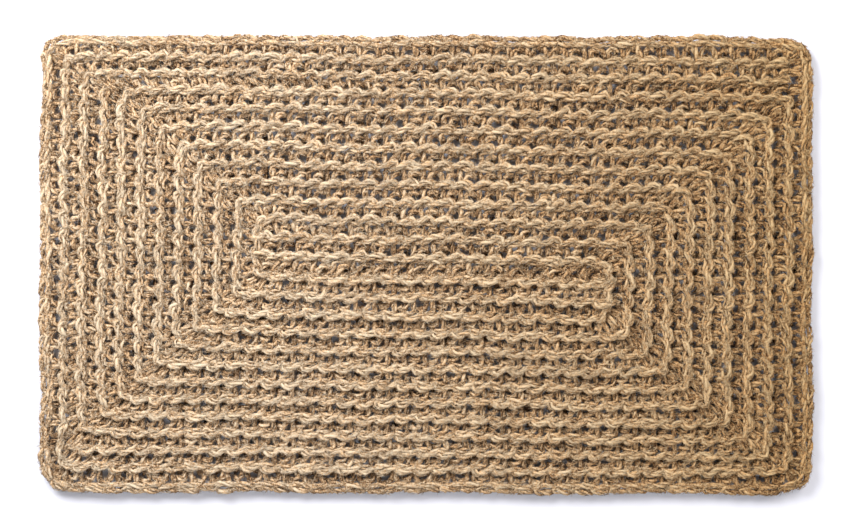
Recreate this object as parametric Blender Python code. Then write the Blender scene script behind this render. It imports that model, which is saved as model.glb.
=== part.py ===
"""Door mat, crocheted from jute yarn.

The mat lies on Z = 0 with its centre over the origin, its long side along X. It is worked from a
foundation chain outwards. Rows run along all four sides and meet at the corners, and an edging
closes them. Each row is one solid: a low bed, which stands for its upright stitches, and along its
outer side a raised ridge, which stands for the loops that the next row leaves free. The foundation
chain and the first row at each end are a ridge only.

Rows are numbered from the centre outwards. Distances are in metres.
"""

import math

import bmesh
import bpy

# Driving dimensions
MAT_LENGTH = 0.760
MAT_WIDTH = 0.450
MAT_THICKNESS = 0.013  # floor to the top of a ridge
BED_THICKNESS = 0.0085  # floor to the top of a row's upright stitches
BED_FALL = 0.0008  # how much lower the bed is where it meets the row inside it
RIDGE_WIDTH = 0.008
RIDGE_ROUND = 0.0028  # radius of a ridge's upper edges
LEFT_PITCH = 0.0191  # from one left row to the next
RIGHT_PITCH = 0.0199
EDGING_REACH = 0.0215  # from the last row to the mat's edge
EDGING_BRAID = 0.011  # width of the edging's braid
EDGING_THICKNESS = 0.0105
EDGING_ROUND = 0.0034
CORNER_RADII = {
    "top_left": 0.008,
    "top_right": 0.016,
    "bottom_right": 0.014,
    "bottom_left": 0.018,
}
CLEARANCE = 0.0003  # between neighbouring rows

# Counts
TOP_ROWS = 10
BOTTOM_ROWS = 10
LEFT_ROWS = 11
RIGHT_ROWS = 10
CENTRE_ROWS_ABOVE = 2  # between the foundation chain and the first top row
CENTRE_ROWS_BELOW = 1
ROUND_STEPS = 3  # segments in each rounded upper edge
CORNER_STEPS = 4  # segments in half of a rounded corner

JUTE = {
    "jute_row": (0.60, 0.42, 0.23),
    "jute_chain": (0.66, 0.48, 0.28),
    "jute_edging": (0.63, 0.45, 0.25),
}
JUTE_ROUGHNESS = 0.9

# Derived sizes
HALF_LENGTH = MAT_LENGTH / 2
HALF_WIDTH = MAT_WIDTH / 2
LAST_X = HALF_LENGTH - EDGING_REACH  # outer side of the last left and right rows
LAST_Y = HALF_WIDTH - EDGING_REACH
RIDGES_ACROSS = TOP_ROWS + BOTTOM_ROWS + CENTRE_ROWS_ABOVE + CENTRE_ROWS_BELOW + 1
ROW_PITCH = (2 * LAST_Y - RIDGE_WIDTH) / (RIDGES_ACROSS - 1)


def top_edge(row):
    """Y of the outer side of a top row. Row 0 and row -1 are the centre rows above the chain."""
    return LAST_Y - (TOP_ROWS - row) * ROW_PITCH


def bottom_edge(row):
    """Y of the outer side of a bottom row. Row 0 is the centre row below the chain, -1 the chain."""
    return -LAST_Y + (BOTTOM_ROWS - row) * ROW_PITCH


def left_edge(row):
    return -LAST_X + (LEFT_ROWS - row) * LEFT_PITCH


def right_edge(row):
    return LAST_X - (RIGHT_ROWS - row) * RIGHT_PITCH


CHAIN_TOP = bottom_edge(-1) + RIDGE_WIDTH
CENTRE_LEFT = left_edge(1) + RIDGE_WIDTH  # inner side of the first left row
CENTRE_RIGHT = right_edge(1) - RIDGE_WIDTH


def corner_lines():
    """For each corner, the line on which the rows of its two sides meet, from the centre outwards.

    Each point is where the outer sides of two rows cross. One left row ends against a top row, one
    bottom row ends between two others, and the last two top rows end at the right edging.
    """
    top_left = [(CENTRE_LEFT, CHAIN_TOP), (CENTRE_LEFT, top_edge(0))]
    top_left += [(left_edge(k), top_edge(k)) for k in range(1, TOP_ROWS - 1)]
    top_left += [(left_edge(LEFT_ROWS - k), top_edge(TOP_ROWS - k)) for k in (1, 0)]

    bottom_left = [(CENTRE_LEFT, CHAIN_TOP)]
    bottom_left += [(left_edge(k + 2), bottom_edge(k)) for k in range(-1, BOTTOM_ROWS - 1)]
    bottom_left += [(left_edge(LEFT_ROWS), bottom_edge(BOTTOM_ROWS))]

    top_right = [(CENTRE_RIGHT, CHAIN_TOP)]
    top_right += [(right_edge(k + 2), top_edge(k)) for k in range(-1, TOP_ROWS - 1)]
    top_right += [(LAST_X, LAST_Y)]

    bottom_right = [(CENTRE_RIGHT, CHAIN_TOP), (CENTRE_RIGHT, bottom_edge(0))]
    bottom_right += [(right_edge(k), bottom_edge(k)) for k in range(1, BOTTOM_ROWS + 1)]
    return {
        "top_left": top_left,
        "top_right": top_right,
        "bottom_right": bottom_right,
        "bottom_left": bottom_left,
    }


CORNERS = corner_lines()


def crossing(corner, axis, value, last):
    """The point of a corner line whose coordinate on axis is value: the first or the last one."""
    found = []
    line = CORNERS[corner]
    for start, end in zip(line, line[1:]):
        low, high = sorted((start[axis], end[axis]))
        if not low - 1e-9 <= value <= high + 1e-9:
            continue
        if high - low < 1e-9:
            found += [start, end]
            continue
        share = (value - start[axis]) / (end[axis] - start[axis])
        found.append(tuple(a + share * (b - a) for a, b in zip(start, end)))
    return found[-1 if last else 0]


def upper_round(centre_in, centre_height, reach_in, reach_up, first, last):
    """Points on a quarter of an ellipse, as (distance in from the outer side, height)."""
    points = []
    for step in range(ROUND_STEPS + 1):
        angle = math.radians(first + (last - first) * step / ROUND_STEPS)
        points.append(
            (centre_in + reach_in * math.cos(angle), centre_height + reach_up * math.sin(angle))
        )
    return points


def section(width, ridge_width, height, rounding):
    """A row's cross-section: a ridge over the outer side and, where the row is wider, its bed."""
    points = [(0.0, 0.0)]
    points += upper_round(rounding, height - rounding, rounding, rounding, 180, 90)
    inner = ridge_width - rounding
    if width > ridge_width:
        points += upper_round(inner, BED_THICKNESS, rounding, height - BED_THICKNESS, 90, 0)
        points += [(width, BED_THICKNESS - BED_FALL), (width, 0.0)]
    else:
        points += upper_round(inner, height - rounding, rounding, rounding, 90, 0)
        points += [(width, 0.0)]
    return points


def material(slot):
    made = bpy.data.materials.get(slot)
    if made is None:
        made = bpy.data.materials.new(slot)
        made.use_nodes = True
        shader = made.node_tree.nodes["Principled BSDF"]
        shader.inputs["Base Color"].default_value = (*JUTE[slot], 1)
        shader.inputs["Roughness"].default_value = JUTE_ROUGHNESS
    return made


def solid(name, outer, inner, outline, slot):
    """The closed shape that carries an outline from each outer point to the inner point beside it."""
    width = outline[-1][0]
    bm = bmesh.new()
    rings = []
    for (outer_x, outer_y), (inner_x, inner_y) in zip(outer, inner):
        ring = []
        for distance, height in outline:
            share = distance / width
            x = outer_x + share * (inner_x - outer_x)
            y = outer_y + share * (inner_y - outer_y)
            ring.append(bm.verts.new((x, y, height)))
        rings.append(ring)
    bm.faces.new(rings[0])
    bm.faces.new(reversed(rings[-1]))
    for near, far in zip(rings, rings[1:]):
        for i in range(len(outline)):
            j = (i + 1) % len(outline)
            bm.faces.new((near[i], far[i], far[j], near[j]))
    bmesh.ops.remove_doubles(bm, verts=bm.verts, dist=1e-6)
    bmesh.ops.dissolve_degenerate(bm, edges=bm.edges, dist=1e-6)
    bmesh.ops.recalc_face_normals(bm, faces=bm.faces)
    mesh = bpy.data.meshes.new(name)
    bm.to_mesh(mesh)
    bm.free()
    mesh.materials.append(material(slot))
    made = bpy.data.objects.new(name, mesh)
    bpy.context.scene.collection.objects.link(made)
    mesh.shade_smooth()
    mesh.set_sharp_from_angle(angle=math.radians(40))
    return made


def row_solid(name, start_corner, end_corner, axis, outer, inner, slot="jute_row"):
    """A straight row between two corner lines.

    axis is the coordinate that stays the same along the row: 0 for a left or right row, whose sides
    are at X = outer and X = inner, and 1 for a top or bottom row.
    """
    along = 1 - axis
    outer_ends = [list(crossing(c, axis, outer, False)) for c in (start_corner, end_corner)]
    inner_ends = [list(crossing(c, axis, inner, True)) for c in (start_corner, end_corner)]
    for ends in (outer_ends, inner_ends):
        away = math.copysign(CLEARANCE, ends[1][along] - ends[0][along])
        ends[0][along] += away
        ends[1][along] -= away
    for end in inner_ends:
        end[axis] += math.copysign(CLEARANCE, outer - inner)
    width = abs(outer - inner) - CLEARANCE
    ridge = min(RIDGE_WIDTH, width)
    outline = section(width, ridge, MAT_THICKNESS, RIDGE_ROUND)
    return solid(name, outer_ends, inner_ends, outline, slot)


def round_corner(corner, first, last):
    """Points on the mat's outline round a corner, between two angles in degrees."""
    radius = CORNER_RADII[corner]
    side_x = 1 if corner.endswith("right") else -1
    side_y = 1 if corner.startswith("top") else -1
    centre_x = side_x * (HALF_LENGTH - radius)
    centre_y = side_y * (HALF_WIDTH - radius)
    points = []
    for step in range(CORNER_STEPS + 1):
        angle = math.radians(first + (last - first) * step / CORNER_STEPS)
        points.append((centre_x + radius * math.cos(angle), centre_y + radius * math.sin(angle)))
    return points


def edging_solid(name, start_corner, end_corner, axis, facing):
    """One side of the edging, from the middle of one rounded corner to the middle of the next.

    facing is the angle of the side's outward direction, in degrees. The sides go clockwise, so the
    first corner is turned from facing + 45 to facing and the second from facing to facing - 45.
    """
    along = 1 - axis
    outer_first = round_corner(start_corner, facing + 45, facing)
    outer_second = round_corner(end_corner, facing, facing - 45)
    ends = []
    for corner in (start_corner, end_corner):
        side_x = 1 if corner.endswith("right") else -1
        side_y = 1 if corner.startswith("top") else -1
        ends.append([side_x * LAST_X, side_y * LAST_Y])
    away = math.copysign(CLEARANCE, ends[1][along] - ends[0][along])
    ends[0][along] += away
    ends[1][along] -= away
    for end in ends:
        end[axis] += math.copysign(CLEARANCE, end[axis])
    outer = [list(point) for point in outer_first + outer_second]
    for point in outer[: len(outer_first)]:
        point[along] += away
    for point in outer[len(outer_first) :]:
        point[along] -= away
    inner = [ends[0]] * len(outer_first) + [ends[1]] * len(outer_second)
    outline = section(EDGING_REACH - CLEARANCE, EDGING_BRAID, EDGING_THICKNESS, EDGING_ROUND)
    return solid(name, outer, inner, outline, "jute_edging")


def horizontal_rows():
    """The foundation chain, the centre rows and the rows along the top and bottom sides."""
    row_solid(
        "foundation_chain", "bottom_left", "bottom_right", 1, bottom_edge(-1), CHAIN_TOP, "jute_chain"
    )
    row_solid("centre_row_2", "top_left", "top_right", 1, top_edge(-1), CHAIN_TOP)
    row_solid("centre_row_1", "top_left", "top_right", 1, top_edge(0), top_edge(-1))
    row_solid("centre_row_3", "bottom_left", "bottom_right", 1, bottom_edge(0), bottom_edge(-1))
    for k in range(1, TOP_ROWS + 1):
        row_solid(f"top_row_{k:02d}", "top_left", "top_right", 1, top_edge(k), top_edge(k - 1))
    for k in range(1, BOTTOM_ROWS + 1):
        row_solid(
            f"bottom_row_{k:02d}", "bottom_left", "bottom_right", 1, bottom_edge(k), bottom_edge(k - 1)
        )


def vertical_rows():
    """The rows along the left and right sides. The first on each side is a ridge only."""
    for k in range(1, LEFT_ROWS + 1):
        inner = CENTRE_LEFT if k == 1 else left_edge(k - 1)
        row_solid(f"left_row_{k:02d}", "bottom_left", "top_left", 0, left_edge(k), inner)
    for k in range(1, RIGHT_ROWS + 1):
        inner = CENTRE_RIGHT if k == 1 else right_edge(k - 1)
        row_solid(f"right_row_{k:02d}", "bottom_right", "top_right", 0, right_edge(k), inner)


def edging():
    edging_solid("edging_top", "top_left", "top_right", 1, 90)
    edging_solid("edging_right", "top_right", "bottom_right", 0, 0)
    edging_solid("edging_bottom", "bottom_right", "bottom_left", 1, -90)
    edging_solid("edging_left", "bottom_left", "top_left", 0, 180)


def main():
    for old in list(bpy.data.objects):
        bpy.data.objects.remove(old)
    horizontal_rows()
    vertical_rows()
    edging()


main()
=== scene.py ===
"""Door mat, crocheted from three-ply jute yarn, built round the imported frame.

Four strands of stitches spiral outwards from the foundation chain, clockwise, and an edging closes
them. Each stitch stands on the row inside it and takes up only its far loop, so the near loops of
every row are left as a rope-like ridge. Lengths are in metres.
"""

import math

import bpy
import numpy as np
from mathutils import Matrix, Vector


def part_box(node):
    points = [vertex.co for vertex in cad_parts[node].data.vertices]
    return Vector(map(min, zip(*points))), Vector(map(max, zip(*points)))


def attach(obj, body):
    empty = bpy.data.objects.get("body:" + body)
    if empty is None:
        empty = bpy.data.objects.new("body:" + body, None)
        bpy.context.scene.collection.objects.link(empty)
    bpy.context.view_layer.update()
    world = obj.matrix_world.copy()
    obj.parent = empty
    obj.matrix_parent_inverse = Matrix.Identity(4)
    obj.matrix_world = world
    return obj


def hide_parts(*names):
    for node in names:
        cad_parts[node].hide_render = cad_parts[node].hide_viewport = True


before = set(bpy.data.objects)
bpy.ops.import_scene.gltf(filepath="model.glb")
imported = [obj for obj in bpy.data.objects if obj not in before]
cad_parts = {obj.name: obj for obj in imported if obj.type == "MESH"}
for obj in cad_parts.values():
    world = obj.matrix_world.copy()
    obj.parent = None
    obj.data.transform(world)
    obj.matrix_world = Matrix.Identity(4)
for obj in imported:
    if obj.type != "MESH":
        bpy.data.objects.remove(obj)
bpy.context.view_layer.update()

MM = 0.001
KNOT_REACH = 1.7  # of random knots, whose B-spline then reaches about 1
MAT_LOW = (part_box("edging_left")[0][0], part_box("edging_bottom")[0][1])
MAT_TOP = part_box("top_row_05")[1][2]
MAT_HIGH = (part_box("edging_right")[1][0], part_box("edging_top")[1][1])

# Yarn
PLIES = 3
PLY_SIDES = 5
PLY_RADIUS = 1.45 * MM
PLY_ORBIT = 1.65 * MM  # from the yarn's centre to a ply's
TWIST_LENGTH = 30 * MM  # of yarn, for one turn of the plies
RING_GAP = 4.2 * MM  # between two rings of a ply's surface
UNDER_RING_GAP = 7 * MM  # the same, where the yarn is below UNDER_HEIGHT
UNDER_HEIGHT = 5.2 * MM
PLY_SWELL = 0.28  # how much a ply's thickness wanders, and over what length
SWELL_LENGTH = 9 * MM
LOOSE_PLY = 0.35  # how much its distance from the yarn's centre wanders, and over what length
LOOSE_LENGTH = 13 * MM
TONE_WANDERS = ((0.32, 55 * MM), (0.12, 9 * MM))  # how much a ply's tone wanders, over what lengths
SURFACE_ROUGHNESS = 0.24 * MM
PLY_MAP_SHIFT = 7.3  # between two plies, across the fibre map
LOWEST_PATH = 2.9 * MM  # of the yarn's middle
LOWEST_SURFACE = 0.05 * MM

# Rows
RIDGE_INSET = 4 * MM  # from a row's outer side to the middle of its ridge
BRAID_INSET = 5.6 * MM  # from the mat's side to the middle of its braid
STITCH_PITCH = {"across": 18.45 * MM, "down": 17.6 * MM}
SHORT_POST = 8 * MM  # of the rows that stand on nothing but row ends
CORNER_REACH = 0.6  # how many stitches a row reaches past the row inside it, at least, at a corner
CORNER_SPREAD = 0.45  # how far from a corner stitch's foot the two beside it stand, in stitches
CORNER_RADII = (8 * MM, 16 * MM, 14 * MM, 18 * MM)  # top left, top right, bottom right, bottom left
LEAST_RADIUS = 2 * MM
CORNER_POINTS = 9

# How hand work strays from a straight lattice
TURN = (0.015, -0.0175)  # how much X grows with Y, and Y with X
TURN_FADE = 8  # the power of the distance from the middle with which all but the waves fade out
LOW_BAND = (6.0, -0.060, 0.120)  # how low it lies in millimetres, its middle's Y and its reach
HIGH_BAND = (-2.2, 0.165, 0.045)
END_BULGE = 2.4 * MM
# For X and for Y, sine waves: amplitude, radians for each metre of X and of Y, and radians to start
WAVES = (
    ((0.8 * MM, 0, 41, 0.7), (0.5 * MM, 11, 97, 0)),
    ((0.8 * MM, 31, 0, 0.4), (0.5 * MM, 83, 17, 0)),
)
LATTICE_WANDER = 0.8 * MM  # of each stitch by itself
BRAID_WANDER = 0.4 * MM

# Where the gaps between posts are open to the floor
SHUT_SHARE = 0.97  # of the gaps, where the work is tightest
LOOSE_DROP = 0.42  # how much lower that share is where it is loosest
LOOSE_MIDDLE = (-0.01, 0.085)
LOOSE_REACH = (0.20, 0.060)
LOOSE_EDGE = 0.020  # width of the loose strips along the top and the left side
LOOSE_TOP_END = 0.05  # X where the top's strip ends
LOOSE_LEFT_START = 0.03  # distance from the middle of the left side where its two strips start

# The strands, from the middle outwards, each row joined to the next at a corner
STRANDS = (
    "centre_row_1 right_row_02 bottom_row_02 left_row_04 top_row_04 right_row_06 bottom_row_06 "
    "left_row_08 top_row_08 right_row_10 bottom_row_10 left_row_11 top_row_10",
    "centre_row_2 right_row_01 bottom_row_01 left_row_03 top_row_03 right_row_05 bottom_row_05 "
    "left_row_07 top_row_07 right_row_09 bottom_row_09",
    "foundation_chain left_row_01 top_row_01 right_row_03 bottom_row_03 left_row_05 top_row_05 "
    "right_row_07 bottom_row_07 left_row_09",
    "centre_row_3 left_row_02 top_row_02 right_row_04 bottom_row_04 left_row_06 top_row_06 "
    "right_row_08 bottom_row_08 left_row_10 top_row_09",
)
EDGING = ("edging_top", "edging_right", "edging_bottom", "edging_left")
# The side of the foundation chain on which the chain itself and the short rows beside it lie
CENTRE_SIDES = {
    "centre_row_1": "top",
    "centre_row_2": "top",
    "centre_row_3": "bottom",
    "foundation_chain": "bottom",
}
# The row that a row stands on, where it isn't the one numbered before it on its side
INNER_OF_FIRST = {
    "centre_row_1": "centre_row_2",
    "centre_row_2": "foundation_chain",
    "centre_row_3": "foundation_chain",
    "top_row_01": "centre_row_1",
    "bottom_row_01": "centre_row_3",
}
# For each side, which coordinate stays the same along it, and the sign of its outward direction.
SIDES = {"top": (1, 1), "bottom": (1, -1), "left": (0, -1), "right": (0, 1)}

# One stitch, as the places that its yarn passes: stitches along the row from the stitch's post, share
# of the way from the row inside to this row's ridge, millimetres outwards from there, and height in
# millimetres. First the hump that a row shows as its ridge or the edging as its braid, then the post.
RIDGE = (
    (-0.66, 1.00, -0.6, 9.2),
    (-0.56, 1.00, -0.2, 11.2),
    (-0.38, 1.00, 0.8, 12.5),
    (-0.16, 1.00, 2.8, 12.5),
    (0.06, 1.00, 4.8, 12.0),
    (0.26, 1.00, 4.8, 11.4),
    (0.42, 1.00, 2.8, 11.0),
    (0.56, 1.00, 0.4, 10.2),
    (0.46, 1.00, -0.8, 9.6),
    (0.20, 1.00, -0.6, 10.2),
    (-0.08, 1.00, -0.6, 9.6),
    (-0.20, 0.94, 0.0, 7.6),
)
BRAID = (
    (-0.62, 1.00, -1.8, 9.6),
    (-0.24, 1.00, -2.8, 10.4),
    (0.20, 1.00, -2.6, 10.4),
    (0.60, 1.00, -0.6, 10.0),
    (0.66, 1.00, 2.0, 9.4),
    (0.30, 1.00, 3.0, 9.2),
    (-0.14, 1.00, 3.1, 8.8),
    (-0.50, 1.00, 2.4, 7.4),
    (-0.56, 1.00, 0.4, 6.0),
    (-0.30, 0.90, 0.0, 7.0),
)
POST = (
    (-0.20, 0.76, 0.0, 7.9),
    (-0.14, 0.48, 0.0, 8.2),
    (-0.13, 0.26, 0.0, 7.4),
    (-0.13, 0.02, 0.0, 4.6),
    (-0.02, 0.06, 0.0, 3.0),
    (0.04, 0.10, 0.0, 3.0),
    (0.06, 0.06, 0.0, 3.2),
    (0.13, 0.02, 0.0, 4.8),
    (0.13, 0.26, 0.0, 7.4),
    (0.14, 0.48, 0.0, 8.2),
    (0.20, 0.66, 0.0, 8.2),
    (0.42, 0.70, 0.0, 8.0),
    (0.68, 0.68, 0.0, 7.6),
    (0.62, 0.52, 0.0, 6.0),
    (0.40, 0.66, 0.0, 6.6),
)
CROSSING = -4  # the first of the places, from the end, where the yarn crosses to the next post
CROSSING_WANDER = 0.10  # of those, as a share of the way between rows
UNDERNEATH = (-11, -10, -9)  # the places of the loop underneath, which can reach across the next gap
LOOP_ALONG = (0.46, 0.66, 0.46)  # how many stitches each then moves along
LOOP_OUT = (0.24, 0.34, 0.26)  # and how far outwards, as a share of the way
SHUT_LOOPS = (0.75, 1.15)  # how much of that reach a loop takes where it shuts its gap
OPEN_LOOPS = (0, 0.35)  # and where it leaves it open
TAIL_IN = ((-0.05, 0.84, 0.0, 3.2), (-0.35, 0.90, 0.0, 4.2))  # the ends of a strand, out of sight
TAIL_OUT = ((0.30, 0.90, 0.0, 5.2), (0.05, 0.86, 0.0, 3.4), (-0.25, 0.84, 0.0, 3.2))
LONG_ROWS = ("top_row_09", "top_row_10")  # these end over the edging's posts
LONG_ROW_REACH = 6 * MM
PLACE_WANDER = 0.8 * MM  # of each place by itself
HEIGHT_WANDER = 0.5 * MM  # of whole stitches, over HEIGHT_STITCHES of them
HEIGHT_STITCHES = 3.0
PATH_STEPS = 6  # from one place to the next

# Hairs
HAIRS_PER_STITCH = 190
HAIR_RADIUS = 0.30 * MM  # where it is thickest
HAIR_SWELL = (0.55, 1.3)  # how much thinner or thicker it can be
HAIR_REACH = (2.2 * MM, 6.4 * MM)  # of each of its two ends
HAIR_DEPTH = (0.82, 1.06)  # of its middle, as a share of the yarn's radius
HAIRY_HEIGHT = 6.0 * MM  # most hairs are on yarn above this height
LOW_HAIR_SHARE = 0.25  # how many there are on lower yarn, compared with that
RAISED_SHARE = 0.85  # of the hairs that would be under the yarn, how many are moved to its top
RIDGE_HEIGHT = 10.5 * MM  # above which they mostly lie along the yarn
RIDGE_SLANT = 0.7
SLANT = 2.0
LIFT_RANGE = (-0.3, 1)  # of a tip, as a share of LIFT or, for a few, of LONG_LIFT
LIFT = 0.7 * MM
LONG_LIFT = 3.2 * MM
LONG_LIFT_SHARE = 0.22
TIP_WANDER = 0.4 * MM
HAIR_HEIGHTS = (0.5 * MM, 19.5 * MM)  # between which hairs stay
HAIR_OVERHANG = 6 * MM  # and how far past the mat's sides they may reach

# Materials: the places of the two in each piece's list, each one's deep, body and crest colours, and
# what they share
YARN, HAIR = 0, 1
# The deep colours are painted shade, for yarn low in the mat, in the gaps and under other yarn; the
# crest colours, on the ridges' tops, are partly their paler yarn and partly a painted highlight
YARN_COLOURS = ((0.082, 0.032, 0.010), (0.61, 0.390, 0.207), (0.65, 0.540, 0.400))
HAIR_COLOURS = ((0.070, 0.027, 0.008), (0.57, 0.365, 0.193), (0.68, 0.580, 0.450))
# Painted shade: further along X the jute is multiplied by this tint, darker and redder where the lights
# fall off across the mat
FALLOFF_SHADE_TINT = (0.74, 0.63, 0.44, 1)
FINISH = {
    "Roughness": 0.88,
    "Specular IOR Level": 0.25,
    "Sheen Roughness": 0.5,
    "Sheen Tint": (1.0, 0.9, 0.72, 1),
}
STREAKS = {"Around": 10.0, "Along": 2.6, "Detail": 4.0}
STREAK_HEIGHT = 0.45 * MM

# Floor, light and camera
FLOOR_HALF = 12.0
FLOOR_HEIGHT = -0.2 * MM
FLOOR_COLOUR = (0.76, 0.78, 0.88, 1)
LIGHTS = (  # name, place, target, diameter, power and colour
    ("window", (-0.80, 0.90, 1.00), (-0.05, 0, 0), 1.0, 40.5, (1.0, 0.985, 0.96)),
    ("far_window", (1.05, 0.7, 1.2), (0.05, 0, 0), 1.2, 18, (1.0, 0.95, 0.88)),
    ("front", (0.1, -1.15, 1.2), (0, 0, 0), 1.4, 12, (1.0, 0.96, 0.92)),
)
ROOM_COLOUR = (0.93, 0.96, 1.0, 1)
ROOM_LIGHT = 0.22
CAMERA_HEIGHT = 2.0  # above the mat
VIEW_WIDTH = 0.8367  # at the mat's top
SENSOR_WIDTH = 36  # in millimetres


# ---------------------------------------------------------------------------------------------
# Curves


def carried_on(points, count):
    """The points with count more at each end, in line with the last two."""
    steps = np.arange(count, 0, -1)[:, None]
    before = points[0] + steps * (points[0] - points[1])
    after = points[-1] + steps[::-1] * (points[-1] - points[-2])
    return np.concatenate([before, points, after])


def spline_at(points, at, closed=False):
    """Points on the uniform cubic B-spline of points, at the given places counted in points.

    Each is a weighted mean of the four points round it. At a share w of the way from one point to
    the next the weights are (1-w)^3, 3w^3-6w^2+4, -3w^3+3w^2+3w+1 and w^3, all over 6.
    """
    whole = np.floor(at).astype(int)
    w = (at - whole)[:, None]
    if closed:
        near = [points[(whole + k) % len(points)] for k in (-1, 0, 1, 2)]
    else:
        padded = carried_on(points, 3)
        near = [padded[np.clip(whole + k + 3, 0, len(padded) - 1)] for k in (-1, 0, 1, 2)]
    weights = ((1 - w) ** 3, 3 * w**3 - 6 * w**2 + 4, -3 * w**3 + 3 * w**2 + 3 * w + 1, w**3)
    return sum(weight * point for weight, point in zip(weights, near)) / 6


def wander(rng, lengths, knot_gap, columns=1):
    """Smooth random values from about -1 to 1 at the given lengths: a B-spline of random knots."""
    knots = rng.uniform(-KNOT_REACH, KNOT_REACH, (int(lengths[-1] / knot_gap) + 3, columns))
    return spline_at(knots, lengths / knot_gap)


def unit(vectors):
    """The vectors, each divided by its length."""
    return vectors / np.maximum(np.linalg.norm(vectors, axis=-1, keepdims=True), 1e-12)


def path_lengths(points):
    """The length of the path up to each of its points."""
    return np.concatenate([[0], np.cumsum(np.linalg.norm(np.diff(points, axis=0), axis=1))])


def respaced(points, gap, lower_gap=None, lower=0):
    """Points a gap apart on the path through points, or lower_gap apart where it lies below lower.

    The new points are even in the sum of each step's length over the gap there. Also gives the
    length at each old point and at each new one.
    """
    lengths = path_lengths(points)
    gaps = np.where(points[1:, -1] < lower, lower_gap or gap, gap)
    steps = np.concatenate([[0], np.cumsum(np.diff(lengths) / gaps)])
    even = np.linspace(0, steps[-1], max(3, round(steps[-1]) + 1))
    new_lengths = np.interp(even, steps, lengths)
    path = np.stack([np.interp(new_lengths, lengths, column) for column in points.T], axis=1)
    return path, lengths, new_lengths


def carried_normals(tangents):
    """A normal at each point that turns no more than the path does.

    Each small rotation takes one tangent to the next: 1 + K + K^2 / (1 + cos), where K is the cross
    product's matrix. The product of all those so far is found by doubling.
    """
    axis = np.cross(tangents[:-1], tangents[1:])
    cosine = np.sum(tangents[:-1] * tangents[1:], axis=1)[:, None, None]
    cross = np.zeros((len(axis), 3, 3))
    cross[:, 0, 1], cross[:, 0, 2], cross[:, 1, 2] = -axis[:, 2], axis[:, 1], -axis[:, 0]
    cross -= np.transpose(cross, (0, 2, 1))
    small = np.eye(3) + cross + cross @ cross / np.maximum(1 + cosine, 0.05)
    turned = np.concatenate([np.eye(3)[None], small])
    step = 1
    while step < len(turned):
        turned[step:] = turned[step:] @ turned[:-step]
        step *= 2
    first = unit(np.cross(tangents[0], (0.3, 0.2, 1.0)))
    normals = turned @ first
    normals -= np.sum(normals * tangents, axis=1, keepdims=True) * tangents
    return unit(normals)


# ---------------------------------------------------------------------------------------------
# Where the rows lie


def side_of(row):
    """The side of the foundation chain on which a row lies: top, bottom, left or right."""
    return CENTRE_SIDES.get(row) or row.split("_")[0]


def inner_row(row):
    """The row that this one stands on, or None where it stands on row ends."""
    if row in INNER_OF_FIRST or row in CENTRE_SIDES:
        return INNER_OF_FIRST.get(row)
    side, _, number = row.split("_")
    return f"{side}_row_{int(number) - 1:02d}" if int(number) > 1 else None


def ridge_line(row):
    """The coordinate that the middle of a row's ridge keeps."""
    low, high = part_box(row)
    axis, outward = SIDES[side_of(row)]
    return high[axis] - RIDGE_INSET if outward > 0 else low[axis] + RIDGE_INSET


def hand_drift(points):
    """Moves points by as much as hand work strays from a straight lattice.

    The rows turn slightly clockwise. A band of them lies low and another high, each by a bell curve
    of Y, and the end rows bulge outwards by a sine of X. All this fades out towards the mat's sides,
    by one less a high power of the distance from the middle. The sine waves don't fade.
    """
    x, y = points[:, 0], points[:, 1]
    half = (np.array(MAT_HIGH) - np.array(MAT_LOW)) / 2
    from_middle = [np.clip(np.abs(value / extent), 0, 1) for value, extent in zip((x, y), half)]
    inside = (1 - from_middle[0] ** TURN_FADE) * (1 - from_middle[1] ** TURN_FADE)
    bands = [depth * np.exp(-(((y - at) / reach) ** 2)) for depth, at, reach in (LOW_BAND, HIGH_BAND)]
    bulge = END_BULGE * np.sin(from_middle[0] * math.pi) * np.sign(x)
    moved = points.copy()
    moved[:, 0] += inside * (TURN[0] * y + bulge)
    moved[:, 1] += inside * (TURN[1] * x - sum(bands) * MM)
    for axis, waves in enumerate(WAVES):
        moved[:, axis] += sum(size * np.sin(x * a + y * b + phase) for size, a, b, phase in waves)
    return moved


def strand_corners(rows):
    """A strand's corner points: free end, crossings of neighbouring rows' ridges, free end."""
    corners = []
    for first, second in zip(rows, rows[1:]):
        across, down = (first, second) if SIDES[side_of(first)][0] == 1 else (second, first)
        corners.append((ridge_line(down), ridge_line(across)))
    ends = []
    for row, beside, facing in ((rows[0], corners[0], -1), (rows[-1], corners[-1], 1)):
        axis, outward = SIDES[side_of(row)]
        along = 1 - axis
        clockwise = facing * outward * (1 if axis == 1 else -1)
        end = list(beside)
        end[along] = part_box(row)[1 if clockwise > 0 else 0][along]
        if row in LONG_ROWS:
            end[along] += LONG_ROW_REACH
        ends.append(tuple(end))
    return [ends[0], *corners, ends[1]]


def lay_strand(rows, ridges):
    """Fills ridges with each row's stitch places, corner to corner, at an even pitch."""
    corners = strand_corners(rows)
    for row, start, end in zip(rows, corners, corners[1:]):
        pitch = STITCH_PITCH["across" if SIDES[side_of(row)][0] == 1 else "down"]
        length = math.dist(start, end)
        count = max(1, round(length / pitch))
        share = np.linspace(0, 1, count + 1)[:, None]
        ridges[row] = np.array(start) * (1 - share) + np.array(end) * share


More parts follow.
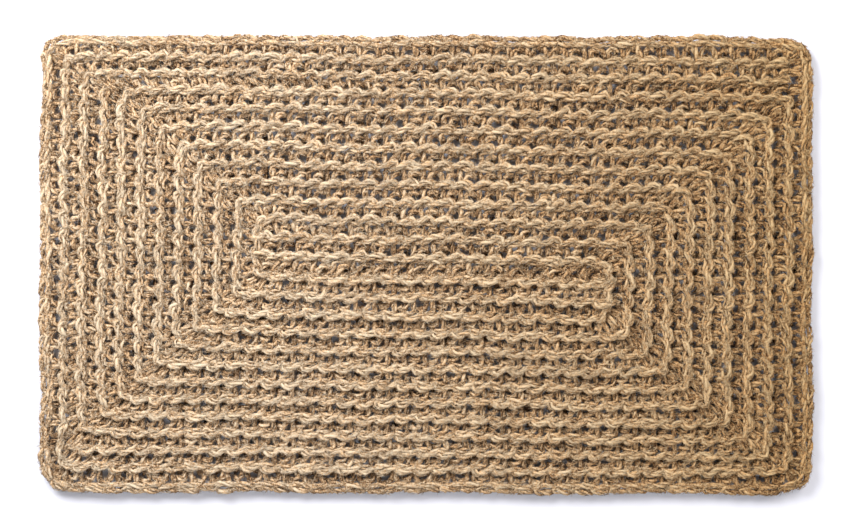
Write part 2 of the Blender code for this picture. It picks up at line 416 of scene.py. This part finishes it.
def footing(row, ridges):
    """For each stitch of a row, the place on the row inside that it stands on.

    Stitch for stitch, except that a corner stitch carries the two beside it as well.
    """
    own = ridges[row]
    axis, outward = SIDES[side_of(row)]
    inner = inner_row(row)
    if inner is None:
        foot = own.copy()
        foot[:, axis] -= outward * SHORT_POST
        return foot
    below = ridges[inner]
    along = 1 - axis
    if (below[-1, along] - below[0, along]) * (own[-1, along] - own[0, along]) < 0:
        below = below[::-1]
    pitch = math.dist(own[0], own[1])
    from_start = np.arange(len(own) + 0.0)
    to_end = from_start[::-1]
    if abs(own[0, along] - below[0, along]) > CORNER_REACH * pitch:
        from_start = np.maximum(from_start - 1, CORNER_SPREAD * from_start)
    if abs(own[-1, along] - below[-1, along]) > CORNER_REACH * pitch:
        to_end = np.maximum(to_end - 1, CORNER_SPREAD * to_end)
    at = from_start / (from_start + to_end) * (len(below) - 1)
    low = np.minimum(at.astype(int), len(below) - 2)
    share = (at - low)[:, None]
    return below[low] * (1 - share) + below[low + 1] * share


def mat_corners(inset):
    """The corners of the mat's outline, clockwise from the top left, moved in by inset."""
    left, bottom = MAT_LOW[0] + inset, MAT_LOW[1] + inset
    right, top = MAT_HIGH[0] - inset, MAT_HIGH[1] - inset
    return (left, top), (right, top), (right, bottom), (left, bottom)


def edging_lattice():
    """The middle of the braid round the mat, and where its stitches stand on the last rows.

    The middle is a rectangle with round corners. Each stitch stands on the nearest point of the
    rectangle of the last ridges.
    """
    corners = mat_corners(BRAID_INSET)
    outline = []
    for (x, y), radius, first in zip(corners, CORNER_RADII, (180, 90, 0, -90)):
        bend = max(radius - BRAID_INSET / 2, LEAST_RADIUS)
        centre = np.array((x - math.copysign(bend, x), y - math.copysign(bend, y)))
        angle = np.radians(np.linspace(first, first - 90, CORNER_POINTS))
        outline.append(centre + bend * np.stack([np.cos(angle), np.sin(angle)], axis=1))
    outline = np.concatenate(outline + [outline[0][:1]])
    braid = respaced(outline, STITCH_PITCH["across"])[0][:-1]
    low = ridge_line("left_row_11"), ridge_line("bottom_row_10")
    high = ridge_line("right_row_10"), ridge_line("top_row_10")
    return braid, np.clip(braid, low, high)


def shut_share(points):
    """How many of the gaps between posts are shut by yarn underneath, as a share from 0 to 1.

    Fewer are above the middle, by a bell curve of the distance, and along the left side and the top.
    """
    x, y = points[:, 0], points[:, 1]
    middle = np.exp(-np.sum(((points - LOOSE_MIDDLE) / LOOSE_REACH) ** 2, axis=1))
    top = (y > MAT_HIGH[1] - LOOSE_EDGE) * (x < LOOSE_TOP_END)
    left = (x < MAT_LOW[0] + LOOSE_EDGE) * (np.abs(y) > LOOSE_LEFT_START)
    return SHUT_SHARE - LOOSE_DROP * np.maximum(middle, np.maximum(top, left))


# ---------------------------------------------------------------------------------------------
# The yarn's path


def stitch_path(rng, tops, feet, places, closed=False):
    """The middle of the yarn through every stitch, and the length at which each stitch starts.

    Each stitch repeats the same places. A place is put between the foot line and the ridge line,
    which are splines through the stitches, and the yarn is the B-spline of all the places.
    """
    count = len(tops) if closed else len(tops) - 1
    size = len(places)
    table = np.tile(places, (count, 1))
    number = np.repeat(np.arange(count), size)
    place = np.tile(np.arange(-size, 0), count)
    before = 0
    if not closed:
        before = len(TAIL_IN)
        table = np.concatenate([TAIL_IN, table, TAIL_OUT])
        number = np.pad(number, (before, len(TAIL_OUT)), mode="edge")
        place = np.pad(place, (before, len(TAIL_OUT)), constant_values=-size)
    along, share, out, height = table.T
    shut = rng.uniform(0, 1, count) < shut_share(tops[:count])
    reach = np.where(shut, rng.uniform(*SHUT_LOOPS, count), rng.uniform(*OPEN_LOOPS, count))[number]
    for underneath, further, outer in zip(UNDERNEATH, LOOP_ALONG, LOOP_OUT):
        along = along + (place == underneath) * reach * further
        share = share + (place == underneath) * reach * outer
    share = share + (place >= CROSSING) * rng.uniform(-1, 1, count)[number] * CROSSING_WANDER
    top = spline_at(tops, number + along, closed)
    foot = spline_at(feet, number + along, closed)
    outward = unit(top - foot)
    flat = foot + share[:, None] * (top - foot) + out[:, None] * MM * outward
    knots = np.concatenate([flat, height[:, None] * MM], axis=1)
    knots += rng.normal(0, PLACE_WANDER, knots.shape)
    knots[:, 2] += wander(rng, np.arange(count + 0.0), HEIGHT_STITCHES)[number, 0] * HEIGHT_WANDER
    knots[:, 2] = np.maximum(knots[:, 2], LOWEST_PATH)
    spans = len(knots) if closed else len(knots) - 1
    fine = spline_at(knots, np.arange(spans * PATH_STEPS + 1) / PATH_STEPS, closed)
    path, lengths, ring_lengths = respaced(fine, RING_GAP, UNDER_RING_GAP, UNDER_HEIGHT)
    first = np.arange(count) * size + before
    first[0] = 0
    starts = np.append(lengths[first * PATH_STEPS], lengths[-1])
    return path, ring_lengths, starts


# ---------------------------------------------------------------------------------------------
# Meshes


class Shell:
    """Vertices, faces with any number of sides, and what the materials read, of one piece."""

    def __init__(self):
        self.points, self.corners, self.sizes = [], [], []
        self.maps, self.tones, self.materials = [], [], []

    def add(self, points, tones, material, *faces_and_maps):
        """Adds points with their tones, and sets of faces that count from the first of them."""
        start = sum(len(earlier) for earlier in self.points)
        self.points.append(points)
        self.tones.append(tones)
        for faces, maps in faces_and_maps:
            self.corners.append((faces + start).ravel())
            self.sizes.append(np.full(len(faces), faces.shape[1]))
            self.maps.append(maps.reshape(-1, 2))
            self.materials.append(np.full(len(faces), material))

    def piece(self, name, materials):
        """The mesh object, with the map and the tones as its attributes."""
        mesh = bpy.data.meshes.new(name)
        points = np.concatenate(self.points)
        corners = np.concatenate(self.corners)
        sizes = np.concatenate(self.sizes)
        mesh.vertices.add(len(points))
        mesh.vertices.foreach_set("co", points.astype(np.float32).ravel())
        mesh.loops.add(len(corners))
        mesh.loops.foreach_set("vertex_index", corners.astype(np.int32))
        mesh.polygons.add(len(sizes))
        starts = np.concatenate([[0], np.cumsum(sizes)[:-1]])
        mesh.polygons.foreach_set("loop_start", starts.astype(np.int32))
        mesh.polygons.foreach_set("use_smooth", np.ones(len(sizes), bool))
        for material in materials:
            mesh.materials.append(material)
        mesh.polygons.foreach_set("material_index", np.concatenate(self.materials).astype(np.int32))
        mesh.update(calc_edges=True)
        layer = mesh.uv_layers.new(name="fibre")
        layer.data.foreach_set("uv", np.concatenate(self.maps).astype(np.float32).ravel())
        tone = mesh.attributes.new("tone", "FLOAT", "POINT")
        tone.data.foreach_set("value", np.concatenate(self.tones).astype(np.float32))
        made = bpy.data.objects.new(name, mesh)
        bpy.context.scene.collection.objects.link(made)
        return made


def tube_faces(tubes, rings, sides):
    """Walls and ends of tubes whose vertices are numbered tube by tube, and ring by ring in each."""
    first = (np.arange(tubes) * rings * sides)[:, None, None]
    ring = (np.arange(rings - 1) * sides)[None, :, None]
    side = np.arange(sides)[None, None, :]
    after = (side + 1) % sides
    a, b = first + ring + side, first + ring + after
    walls = np.stack([a, b, b + sides, a + sides], axis=-1).reshape(-1, 4)
    start = first[:, 0] + np.arange(sides)[::-1]
    end = first[:, 0] + (rings - 1) * sides + np.arange(sides)
    return walls, np.concatenate([start, end])


def add_yarn(shell, rng, path, lengths, normals, others, swell, loose, tones):
    """Plies wound round the path, each a tube.

    A ply's middle is at PLY_ORBIT from the path, at an angle that grows by a full turn in each
    TWIST_LENGTH. Its surface is at about PLY_RADIUS from its middle. The surface does not turn with
    the ply, so the fibres run along the yarn.
    """
    rings = len(path)
    turn = 2 * math.pi * (lengths[:, None] / TWIST_LENGTH + np.arange(PLIES) / PLIES)
    reach = np.cos(turn)[..., None] * normals[:, None] + np.sin(turn)[..., None] * others[:, None]
    middle = path[:, None] + PLY_ORBIT * (1 + loose[..., None]) * reach
    round_angle = 2 * math.pi * np.arange(PLY_SIDES) / PLY_SIDES
    radius = PLY_RADIUS * (1 + PLY_SWELL * swell)[..., None]
    radius = radius + rng.normal(0, SURFACE_ROUGHNESS, (*turn.shape, PLY_SIDES))
    cosine, sine = np.cos(round_angle)[:, None], np.sin(round_angle)[:, None]
    surface = cosine * normals[:, None, None] + sine * others[:, None, None]
    points = middle[:, :, None] + radius[..., None] * surface
    points = points.transpose(1, 0, 2, 3).reshape(-1, 3)
    points[:, 2] = np.maximum(points[:, 2], LOWEST_SURFACE)
    walls, ends = tube_faces(PLIES, rings, PLY_SIDES)
    circumference = 2 * math.pi * PLY_RADIUS
    u = np.arange(PLY_SIDES) / PLY_SIDES + PLY_MAP_SHIFT * np.arange(PLIES)[:, None, None]
    v = (lengths[:-1] / circumference)[None, :, None]
    u, v = np.broadcast_arrays(u, v)
    next_v = np.broadcast_to((lengths[1:] / circumference)[None, :, None], u.shape)
    next_u = u + 1 / PLY_SIDES
    maps = np.stack([u, v, next_u, v, next_u, next_v, u, next_v], axis=-1)
    tone = np.repeat(tones.T.ravel(), PLY_SIDES)
    shell.add(points, tone, YARN, (walls, maps), (ends, np.zeros((*ends.shape, 2))))


def add_hairs(shell, rng, path, normals, others, count):
    """Loose fibres, each of two long three-sided spikes, base to base and bent where they meet.

    The bases are near the yarn's surface. Each spike runs along the yarn and partly round it, by the
    part a of its length that goes round, and drops by a squared over twice the yarn's radius so as
    to follow the surface. Its tip is then let out by a random amount, for a few hairs a large one.
    """
    weight = np.where(path[1:-1, 2] > HAIRY_HEIGHT, 1.0, LOW_HAIR_SHARE)
    ring = 1 + rng.choice(len(path) - 2, count, p=weight / weight.sum())
    along = unit(path[ring + 1] - path[ring - 1])
    angle = rng.uniform(0, 2 * math.pi, count)[:, None]
    out = np.cos(angle) * normals[ring] + np.sin(angle) * others[ring]
    raised = (out[:, 2] < 0) & (rng.uniform(0, 1, count) < RAISED_SHARE)
    out[raised] *= -1
    radius = PLY_ORBIT + PLY_RADIUS
    middle = path[ring] + out * (radius * rng.uniform(*HAIR_DEPTH, count))[:, None]
    across = np.cross(along, out)
    slant = rng.normal(0, 1, count) * np.where(path[ring, 2] > RIDGE_HEIGHT, RIDGE_SLANT, SLANT)
    direction = unit(along + slant[:, None] * across)
    reach = rng.uniform(*HAIR_REACH, (2, count, 1))
    lift = np.where(rng.uniform(0, 1, (2, count, 1)) < LONG_LIFT_SHARE, LONG_LIFT, LIFT)
    lift = lift * rng.uniform(*LIFT_RANGE, (2, count, 1))
    around = reach * np.sum(direction * across, axis=1)[:, None]
    height_shade = (lift - around**2 / (2 * radius)) * out + rng.normal(0, TIP_WANDER, (2, count, 3))
    tips = middle + np.array([-1, 1])[:, None, None] * reach * direction + height_shade
    side = unit(np.cross(direction, out))
    up = np.cross(direction, side)
    thick = (HAIR_RADIUS * rng.uniform(*HAIR_SWELL, count))[:, None]
    turns = 2 * math.pi * np.arange(3) / 3
    bases = [middle + thick * (math.cos(t) * side + math.sin(t) * up) for t in turns]
    points = np.stack([tips[0], *bases, tips[1]], axis=1).reshape(-1, 3)
    lowest = (MAT_LOW[0] - HAIR_OVERHANG, MAT_LOW[1] - HAIR_OVERHANG, HAIR_HEIGHTS[0])
    highest = (MAT_HIGH[0] + HAIR_OVERHANG, MAT_HIGH[1] + HAIR_OVERHANG, HAIR_HEIGHTS[1])
    points = np.clip(points, lowest, highest)
    pattern = np.array([(1, 2, 4), (2, 3, 4), (3, 1, 4), (2, 1, 0), (3, 2, 0), (1, 3, 0)])
    each = len(points) // count
    faces = (each * np.arange(count)[:, None, None] + pattern).reshape(-1, 3)
    tones = np.repeat(rng.uniform(0, 1, count), each)
    shell.add(points, tones, HAIR, (faces, np.zeros((*faces.shape, 2))))


def crochet(rng, names, cuts, tops, feet, places, materials, closed=False):
    """One strand's yarn, cut into one piece for each row at the stitches in cuts."""
    path, lengths, starts = stitch_path(rng, tops, feet, places, closed)
    tangents = unit(np.gradient(path, axis=0))
    normals = carried_normals(tangents)
    others = np.cross(tangents, normals)
    swell = wander(rng, lengths, SWELL_LENGTH, PLIES)
    loose = LOOSE_PLY * wander(rng, lengths, LOOSE_LENGTH, PLIES)
    tones = 0.5
    for amount, length in TONE_WANDERS:
        tones = tones + amount * wander(rng, lengths, length, PLIES)
    rings = np.searchsorted(lengths, starts[cuts]).clip(0, len(path) - 1)
    for name, first, last, stitches in zip(names, rings, rings[1:], np.diff(cuts)):
        part = slice(first, last + 1)
        shell = Shell()
        along = path[part], lengths[part], normals[part], others[part]
        add_yarn(shell, rng, *along, swell[part], loose[part], tones[part])
        add_hairs(shell, rng, path[part], normals[part], others[part], HAIRS_PER_STITCH * int(stitches))
        piece = shell.piece(f"{name}_yarn", materials)
        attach(piece, "root")
        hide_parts(name)


def build_rows(materials):
    """The four strands, each stitch on the row inside it."""
    ridges = {}
    for rows in STRANDS:
        lay_strand(rows.split(), ridges)
    for number, rows in enumerate(STRANDS):
        rng = np.random.default_rng(number)
        names = rows.split()
        tops, feet, cuts = [], [], [0]
        for row in names:
            tops.append(ridges[row][:-1])
            feet.append(footing(row, ridges)[:-1])
            cuts.append(cuts[-1] + len(ridges[row]) - 1)
        tops = np.concatenate(tops + [ridges[names[-1]][-1:]])
        feet = np.concatenate(feet + [footing(names[-1], ridges)[-1:]])
        tops = hand_drift(tops) + rng.normal(0, LATTICE_WANDER, tops.shape)
        feet = hand_drift(feet)
        crochet(rng, names, np.array(cuts), tops, feet, RIDGE + POST, materials)


def build_edging(materials):
    """The closed strand round the mat, cut at the stitches nearest to its corners."""
    rng = np.random.default_rng(len(STRANDS))
    braid, foot = edging_lattice()
    nearest = np.array([np.argmin(np.linalg.norm(braid - corner, axis=1)) for corner in mat_corners(0)])
    braid, foot = np.roll(braid, -nearest[0], axis=0), np.roll(foot, -nearest[0], axis=0)
    cuts = np.append((nearest - nearest[0]) % len(braid), len(braid))
    braid = hand_drift(braid) + rng.normal(0, BRAID_WANDER, braid.shape)
    crochet(rng, EDGING, cuts, braid, hand_drift(foot), BRAID + POST, materials, closed=True)


# ---------------------------------------------------------------------------------------------
# Materials


def node(tree, kind, **values):
    """A new node of the given kind, with its settings."""
    made = tree.nodes.new(kind)
    for key, value in values.items():
        setattr(made, key, value)
    return made


def node_group(name, values, colours, result, result_kind):
    """An effect with named inputs and one output: the group, its input node and its output node."""
    group = bpy.data.node_groups.new(name, "ShaderNodeTree")
    face = group.interface
    for value, default in values:
        face.new_socket(value, in_out="INPUT", socket_type="NodeSocketFloat").default_value = default
    for colour in colours:
        face.new_socket(colour, in_out="INPUT", socket_type="NodeSocketColor")
    face.new_socket(result, in_out="OUTPUT", socket_type=result_kind)
    return group, node(group, "NodeGroupInput"), node(group, "NodeGroupOutput")


def stretched_noise(group, place, scales):
    """A noise node on place times the scales, which are sockets for X, Y and, if given, Z."""
    scale = node(group, "ShaderNodeCombineXYZ")
    times = node(group, "ShaderNodeVectorMath", operation="MULTIPLY")
    noise = node(group, "ShaderNodeTexNoise")
    noise.inputs["Scale"].default_value = 1
    for axis, socket in zip("XYZ", scales):
        group.links.new(socket, scale.inputs[axis])
    group.links.new(place, times.inputs[0])
    group.links.new(scale.outputs["Vector"], times.inputs[1])
    group.links.new(times.outputs["Vector"], noise.inputs["Vector"])
    return noise


def fibre_streaks():
    """Node group: long thin streaks along a ply, from the fibre map. Puts out a value from 0 to 1."""
    values = ("Around", 9.0), ("Along", 1.1), ("Detail", 3.0)
    group, start, end = node_group("fibre_streaks", values, (), "Streak", "NodeSocketFloat")
    fibre_map = node(group, "ShaderNodeUVMap", uv_map="fibre").outputs["UV"]
    noise = stretched_noise(group, fibre_map, (start.outputs["Around"], start.outputs["Along"]))
    noise.inputs["Roughness"].default_value = 0.6
    group.links.new(start.outputs["Detail"], noise.inputs["Detail"])
    group.links.new(noise.outputs["Fac"], end.inputs["Streak"])
    return group


def matted_fibres():
    """Node group: short streaks that lie along X in some places and along Y in the others.

    Two noises, stretched along X and along Y, and a third that chooses. Puts out a value from 0 to 1.
    """
    values = ("Fine", 1300.0), ("Long", 330.0), ("Choice", 260.0)
    group, start, end = node_group("matted_fibres", values, (), "Fibre", "NodeSocketFloat")
    place = node(group, "ShaderNodeTexCoord").outputs["Object"]
    link = group.links.new
    noises = []
    for scales in (("Long", "Fine", "Fine"), ("Fine", "Long", "Fine"), ("Choice",) * 3):
        noise = stretched_noise(group, place, [start.outputs[name] for name in scales])
        noise.inputs["Detail"].default_value = 1
        noises.append(noise.outputs["Fac"])
    choice = node(group, "ShaderNodeMapRange")
    choice.inputs["From Min"].default_value = 0.47
    choice.inputs["From Max"].default_value = 0.53
    mixer = node(group, "ShaderNodeMix", data_type="FLOAT")
    link(noises[2], choice.inputs["Value"])
    link(choice.outputs["Result"], mixer.inputs[0])
    link(noises[0], mixer.inputs[2])
    link(noises[1], mixer.inputs[3])
    link(mixer.outputs[0], end.inputs["Fibre"])
    return group


def jute_shade(matted):
    """Node group: jute's colour from a tone, a streak, matted fibres and how high on the mat it lies.

    Each of the four, less a half and times its share, is added to a half. From Deep at 0 the colour
    goes through Body at a half to Crest at 1. The height paints shade and highlight: yarn low in the
    mat, in the gaps and under other yarn, goes dark towards Deep as painted shade, and yarn on the
    ridges' tops goes pale towards Crest, partly as their paler yarn and partly as a painted highlight.
    Further along X it is darker and redder, as painted shade where the lights fall off across the mat.
    """
    values = (
        ("Tone", 0.5),
        ("Streak", 0.5),
        ("Low", 0.0065),
        ("High", 0.0146),
        ("From Height Shading", 0.9),
        ("From Tone", 0.45),
        ("From Streak", 2.0),
        ("From Fibres", 2.6),
        ("Falloff Shade Start", -0.12),
        ("Falloff Shade End", 0.38),
    )
    colours = "Deep", "Body", "Crest"
    group, start, end = node_group("jute_shade", values, colours, "Colour", "NodeSocketColor")
    place = node(group, "ShaderNodeTexCoord")
    apart = node(group, "ShaderNodeSeparateXYZ")
    # Painted shade and highlight from height: dark towards Deep low in the mat, pale towards Crest on
    # the ridges' tops
    height_shade = node(group, "ShaderNodeMapRange")
    fibres = node(group, "ShaderNodeGroup", node_tree=matted)
    link = group.links.new
    link(place.outputs["Object"], apart.inputs["Vector"])
    link(apart.outputs["Z"], height_shade.inputs["Value"])
    link(start.outputs["Low"], height_shade.inputs["From Min"])
    link(start.outputs["High"], height_shade.inputs["From Max"])
    total = None
    for value, share in (
        (height_shade.outputs["Result"], "From Height Shading"),
        (start.outputs["Tone"], "From Tone"),
        (start.outputs["Streak"], "From Streak"),
        (fibres.outputs["Fibre"], "From Fibres"),
    ):
        centred = node(group, "ShaderNodeMath", operation="SUBTRACT")
        centred.inputs[1].default_value = 0.5
        link(value, centred.inputs[0])
        summed = node(group, "ShaderNodeMath", operation="MULTIPLY_ADD")
        link(centred.outputs[0], summed.inputs[0])
        link(start.outputs[share], summed.inputs[1])
        summed.inputs[2].default_value = 0.5
        if total:
            link(total, summed.inputs[2])
        total = summed.outputs[0]
    colour = start.outputs["Deep"]
    for low, name in ((0.0, "Body"), (0.5, "Crest")):
        part = node(group, "ShaderNodeMapRange")
        part.inputs["From Min"].default_value = low
        part.inputs["From Max"].default_value = low + 0.5
        mixer = node(group, "ShaderNodeMix", data_type="RGBA")
        link(total, part.inputs["Value"])
        link(part.outputs["Result"], mixer.inputs[0])
        link(colour, mixer.inputs[6])
        link(start.outputs[name], mixer.inputs[7])
        colour = mixer.outputs[2]
    # Painted shade: darker and redder further along X, where the lights fall off across the mat
    falloff_shade = node(group, "ShaderNodeMapRange")
    falloff_mixer = node(group, "ShaderNodeMix", data_type="RGBA", blend_type="MULTIPLY")
    falloff_mixer.inputs[7].default_value = FALLOFF_SHADE_TINT
    link(apart.outputs["X"], falloff_shade.inputs["Value"])
    link(start.outputs["Falloff Shade Start"], falloff_shade.inputs["From Min"])
    link(start.outputs["Falloff Shade End"], falloff_shade.inputs["From Max"])
    link(falloff_shade.outputs["Result"], falloff_mixer.inputs[0])
    link(colour, falloff_mixer.inputs[6])
    link(falloff_mixer.outputs[2], end.inputs["Colour"])
    return group


def jute(name, shade, colours, tone_share, sheen):
    """Matte plant fibre with the shade group's colour. Gives the material and the group's node."""
    made = bpy.data.materials.new(name)
    made.use_nodes = True
    tree = made.node_tree
    shader = tree.nodes["Principled BSDF"]
    for socket, value in (*FINISH.items(), ("Sheen Weight", sheen)):
        shader.inputs[socket].default_value = value
    tone = node(tree, "ShaderNodeAttribute", attribute_name="tone")
    shading = node(tree, "ShaderNodeGroup", node_tree=shade)
    for socket, colour in zip(("Deep", "Body", "Crest"), colours):
        shading.inputs[socket].default_value = (*colour, 1)
    shading.inputs["From Tone"].default_value = tone_share
    tree.links.new(tone.outputs["Fac"], shading.inputs["Tone"])
    tree.links.new(shading.outputs["Colour"], shader.inputs["Base Color"])
    return made, shading


def add_streaks(material, shading, streaks):
    """Streaks along the plies, both in the colour and as a bump."""
    tree = material.node_tree
    streak = node(tree, "ShaderNodeGroup", node_tree=streaks)
    for socket, value in STREAKS.items():
        streak.inputs[socket].default_value = value
    raised = node(tree, "ShaderNodeBump")
    raised.inputs["Strength"].default_value = 0.9
    raised.inputs["Distance"].default_value = STREAK_HEIGHT
    tree.links.new(streak.outputs["Streak"], shading.inputs["Streak"])
    tree.links.new(streak.outputs["Streak"], raised.inputs["Height"])
    tree.links.new(raised.outputs["Normal"], tree.nodes["Principled BSDF"].inputs["Normal"])


def jute_materials():
    """The yarn's material and that of its loose fibres, whose tones differ more."""
    shade = jute_shade(matted_fibres())
    yarn, shading = jute("jute_yarn", shade, YARN_COLOURS, tone_share=0.7, sheen=0.15)
    add_streaks(yarn, shading, fibre_streaks())
    hair, _ = jute("jute_hair", shade, HAIR_COLOURS, tone_share=1.5, sheen=0.1)
    return yarn, hair


# ---------------------------------------------------------------------------------------------
# Floor, light and camera


def stage_floor():
    """A pale square, just below the mat."""
    mesh = bpy.data.meshes.new("floor")
    signs = (-1, -1), (1, -1), (1, 1), (-1, 1)
    corners = [(x * FLOOR_HALF, y * FLOOR_HALF, FLOOR_HEIGHT) for x, y in signs]
    mesh.from_pydata(corners, [], [(0, 1, 2, 3)])
    floor = bpy.data.objects.new("floor", mesh)
    bpy.context.scene.collection.objects.link(floor)
    made = bpy.data.materials.new("floor_pale")
    made.use_nodes = True
    shader = made.node_tree.nodes["Principled BSDF"]
    shader.inputs["Base Color"].default_value = FLOOR_COLOUR
    shader.inputs["Roughness"].default_value = 0.6
    mesh.materials.append(made)


def round_light(name, place, target, diameter, power, colour):
    """A round area light that faces its target."""
    data = bpy.data.lights.new(name, "AREA")
    data.shape = "DISK"
    data.size = diameter
    data.energy = power
    data.color = colour
    lamp = bpy.data.objects.new(name, data)
    lamp.location = place
    direction = np.array(target) - np.array(place)
    yaw = math.atan2(direction[1], direction[0])
    pitch = math.atan2(math.hypot(direction[0], direction[1]), -direction[2])
    lamp.rotation_euler = (pitch, 0, yaw - math.pi / 2)
    bpy.context.scene.collection.objects.link(lamp)


def studio_light():
    """Three large soft lights and a faint even one from all round."""
    for values in LIGHTS:
        round_light(*values)
    world = bpy.data.worlds.new("room")
    world.use_nodes = True
    background = world.node_tree.nodes["Background"]
    background.inputs["Color"].default_value = ROOM_COLOUR
    background.inputs["Strength"].default_value = ROOM_LIGHT
    bpy.context.scene.world = world
    bpy.context.scene.view_settings.view_transform = "Standard"


def camera_above():
    """A camera that looks straight down, with the lens that shows VIEW_WIDTH at the mat's top."""
    data = bpy.data.cameras.new("camera")
    data.sensor_width = SENSOR_WIDTH
    data.lens = SENSOR_WIDTH * CAMERA_HEIGHT / VIEW_WIDTH
    camera = bpy.data.objects.new("camera", data)
    camera.location = (0, 0, CAMERA_HEIGHT + MAT_TOP)
    bpy.context.scene.collection.objects.link(camera)
    bpy.context.scene.camera = camera


jute_pair = jute_materials()
build_rows(jute_pair)
build_edging(jute_pair)
stage_floor()
studio_light()
camera_above()
